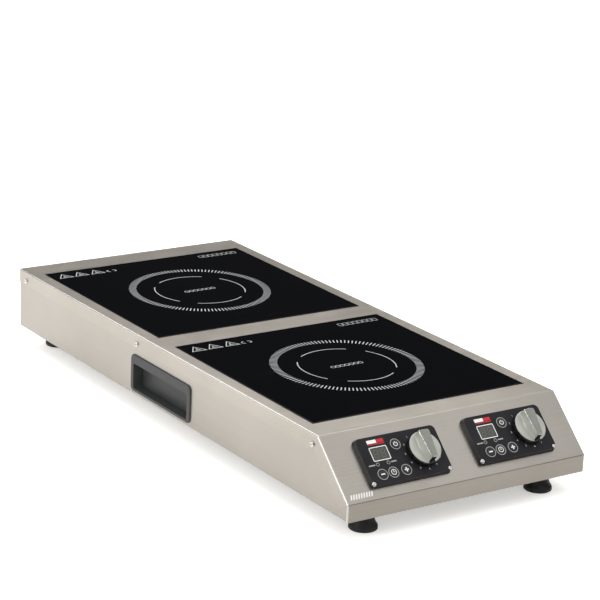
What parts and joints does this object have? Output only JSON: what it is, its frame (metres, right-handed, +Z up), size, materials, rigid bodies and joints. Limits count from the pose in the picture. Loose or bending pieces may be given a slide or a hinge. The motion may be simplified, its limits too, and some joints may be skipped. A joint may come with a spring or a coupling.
{
  "type": "countertop induction cooktop",
  "caption": "Countertop induction cooktop with square glass-ceramic zones in line, a sloping fascia with selector knobs and keys, recessed side grips and rubber feet.",
  "frame": {"origin": "on the floor plane, under the centre of the whole bounding box", "axes": "+X to the user's right, +Y to the back, away from the controls, +Z up"},
  "size_m": [0.3388, 0.7932, 0.1044],
  "materials": {
    "stainless_sheet": "fine directional brushing",
    "glass_ceramic": "polished black with pale print",
    "silicone_seal": "matt",
    "foot_rubber": "satin moulded",
    "screw_steel": "bright plated",
    "grip_plastic": "fine spark texture",
    "panel_plastic": "satin with printed legends",
    "window_acrylic": "smoked, polished",
    "key_plastic": "satin",
    "knob_plastic": "silver-grey, satin",
    "switch_plastic": "matt",
    "shaft_steel": "turned",
    "circuit_board": "solder mask",
    "heat_sink_aluminium": "extruded",
    "fan_plastic": "moulded",
    "coil_copper": "enamelled stranded wire",
    "carrier_plastic": "glass-filled, moulded",
    "ferrite": "sintered",
    "mica": "pressed sheet",
    "sensor_metal": "satin",
    "post_steel": "plated",
    "gland_nylon": "moulded",
    "terminal_plastic": "moulded",
    "lead_insulation": "smooth"
  },
  "bodies": {
    "housing": {"top_cover": "stainless_sheet", "fascia": "stainless_sheet", "base_pan": "stainless_sheet", "side_wall_left": "stainless_sheet", "side_wall_right": "stainless_sheet", "rear_panel": "stainless_sheet", "glass_front": "glass_ceramic", "glass_rear": "glass_ceramic", "glass_seals": "silicone_seal", "foot_front_left": "foot_rubber", "foot_front_right": "foot_rubber", "foot_rear_left": "foot_rubber", "foot_rear_right": "foot_rubber", "cover_screws": "screw_steel", "rear_panel_screws": "screw_steel", "panel_screws": "screw_steel", "foot_screws": "screw_steel", "grip_left": "grip_plastic", "grip_right": "grip_plastic", "panel_housing_left": "panel_plastic", "panel_housing_right": "panel_plastic", "display_window_left": "window_acrylic", "display_window_right": "window_acrylic", "selector_switch_left": "switch_plastic", "selector_switch_right": "switch_plastic", "control_board_left": "circuit_board", "control_board_right": "circuit_board", "power_board_front": "circuit_board", "power_board_rear": "circuit_board", "mains_filter": "circuit_board", "heat_sink_front": "heat_sink_aluminium", "heat_sink_rear": "heat_sink_aluminium", "fan_frame_front": "fan_plastic", "fan_frame_rear": "fan_plastic", "coil_front": "coil_copper", "coil_rear": "coil_copper", "coil_carrier_front": "carrier_plastic", "coil_carrier_rear": "carrier_plastic", "ferrite_bars": "ferrite", "insulation_sheets": "mica", "temperature_sensor_front": "sensor_metal", "temperature_sensor_rear": "sensor_metal", "coil_posts": "post_steel", "cable_gland": "gland_nylon", "terminal_block": "terminal_plastic", "internal_leads": "lead_insulation"},
    "knob_left": {"knob_left": "knob_plastic", "selector_shaft_left": "shaft_steel"},
    "button_power_left": {"button_power_left": "key_plastic"},
    "button_minus_left": {"button_minus_left": "key_plastic"},
    "button_timer_left": {"button_timer_left": "key_plastic"},
    "button_plus_left": {"button_plus_left": "key_plastic"},
    "knob_right": {"knob_right": "knob_plastic", "selector_shaft_right": "shaft_steel"},
    "button_power_right": {"button_power_right": "key_plastic"},
    "button_minus_right": {"button_minus_right": "key_plastic"},
    "button_timer_right": {"button_timer_right": "key_plastic"},
    "button_plus_right": {"button_plus_right": "key_plastic"},
    "fan_rotor_front": {"fan_rotor_front": "fan_plastic"},
    "fan_rotor_rear": {"fan_rotor_rear": "fan_plastic"}
  },
  "joints": [
    {"name": "knob_turn_left", "type": "hinge", "parent": "housing", "child": "knob_left", "pos_m": [-0.05, -0.37203, 0.08146], "axis": [0, 0.6837, -0.7298], "range_deg": [0, 330]},
    {"name": "button_power_press_left", "type": "slide", "parent": "housing", "child": "button_power_left", "axis": [0, 0.6837, -0.7298], "range_m": [0, 0.0004], "stiffness_N_per_m": 2500, "springref_m": -0.0002},
    {"name": "button_minus_press_left", "type": "slide", "parent": "housing", "child": "button_minus_left", "axis": [0, 0.6837, -0.7298], "range_m": [0, 0.0004], "stiffness_N_per_m": 2500, "springref_m": -0.0002},
    {"name": "button_timer_press_left", "type": "slide", "parent": "housing", "child": "button_timer_left", "axis": [0, 0.6837, -0.7298], "range_m": [0, 0.0004], "stiffness_N_per_m": 2500, "springref_m": -0.0002},
    {"name": "button_plus_press_left", "type": "slide", "parent": "housing", "child": "button_plus_left", "axis": [0, 0.6837, -0.7298], "range_m": [0, 0.0004], "stiffness_N_per_m": 2500, "springref_m": -0.0002},
    {"name": "knob_turn_right", "type": "hinge", "parent": "housing", "child": "knob_right", "pos_m": [0.1, -0.37203, 0.08146], "axis": [0, 0.6837, -0.7298], "range_deg": [0, 330]},
    {"name": "button_power_press_right", "type": "slide", "parent": "housing", "child": "button_power_right", "axis": [0, 0.6837, -0.7298], "range_m": [0, 0.0004], "stiffness_N_per_m": 2500, "springref_m": -0.0002},
    {"name": "button_minus_press_right", "type": "slide", "parent": "housing", "child": "button_minus_right", "axis": [0, 0.6837, -0.7298], "range_m": [0, 0.0004], "stiffness_N_per_m": 2500, "springref_m": -0.0002},
    {"name": "button_timer_press_right", "type": "slide", "parent": "housing", "child": "button_timer_right", "axis": [0, 0.6837, -0.7298], "range_m": [0, 0.0004], "stiffness_N_per_m": 2500, "springref_m": -0.0002},
    {"name": "button_plus_press_right", "type": "slide", "parent": "housing", "child": "button_plus_right", "axis": [0, 0.6837, -0.7298], "range_m": [0, 0.0004], "stiffness_N_per_m": 2500, "springref_m": -0.0002},
    {"name": "fan_spin_front", "type": "hinge", "parent": "housing", "child": "fan_rotor_front", "pos_m": [0.1, -0.21835, 0.034], "axis": [0, 0, 1], "continuous": true},
    {"name": "fan_spin_rear", "type": "hinge", "parent": "housing", "child": "fan_rotor_rear", "pos_m": [0.1, 0.12065, 0.034], "axis": [0, 0, 1], "continuous": true}
  ]
}
